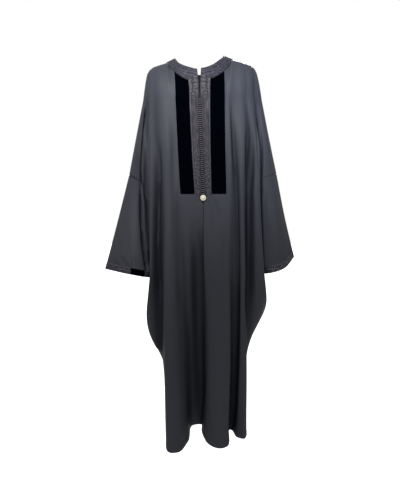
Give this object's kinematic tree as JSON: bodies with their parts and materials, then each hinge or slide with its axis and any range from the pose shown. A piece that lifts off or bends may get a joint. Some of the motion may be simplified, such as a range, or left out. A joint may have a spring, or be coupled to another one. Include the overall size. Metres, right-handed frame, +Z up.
{
  "type": "caftan",
  "caption": "Long wide caftan in its worn form with nobody inside: dropped sleeves, braided collar and placket, soft folds and an open hem.",
  "frame": {"origin": "middle of the neck between the shoulder points of the collar, where the wearer holds the garment up", "axes": "+Z up, the front faces -Y, +X on the right of somebody who looks at the front"},
  "size_m": [0.7283, 0.2664, 1.4828],
  "materials": {
    "cloth": "satin-backed crepe, dark bluish grey",
    "braid": "flat silk braid, mauve grey",
    "velvet": "black velvet",
    "knot": "knotted silk cord",
    "button": "pale polished metal"
  },
  "bodies": {
    "root": {"front_left": "cloth", "front_right": "cloth", "back": "cloth", "sleeve_left": "cloth", "sleeve_right": "cloth", "braid_left": "braid", "braid_right": "braid", "braid_neck_back": "braid", "velvet_left": "velvet", "velvet_right": "velvet", "knot_row": "knot", "front_button": "button", "cuff_braid_left": "braid", "cuff_braid_right": "braid", "cuff_velvet_left": "velvet", "cuff_velvet_right": "velvet"}
  },
  "joints": []
}
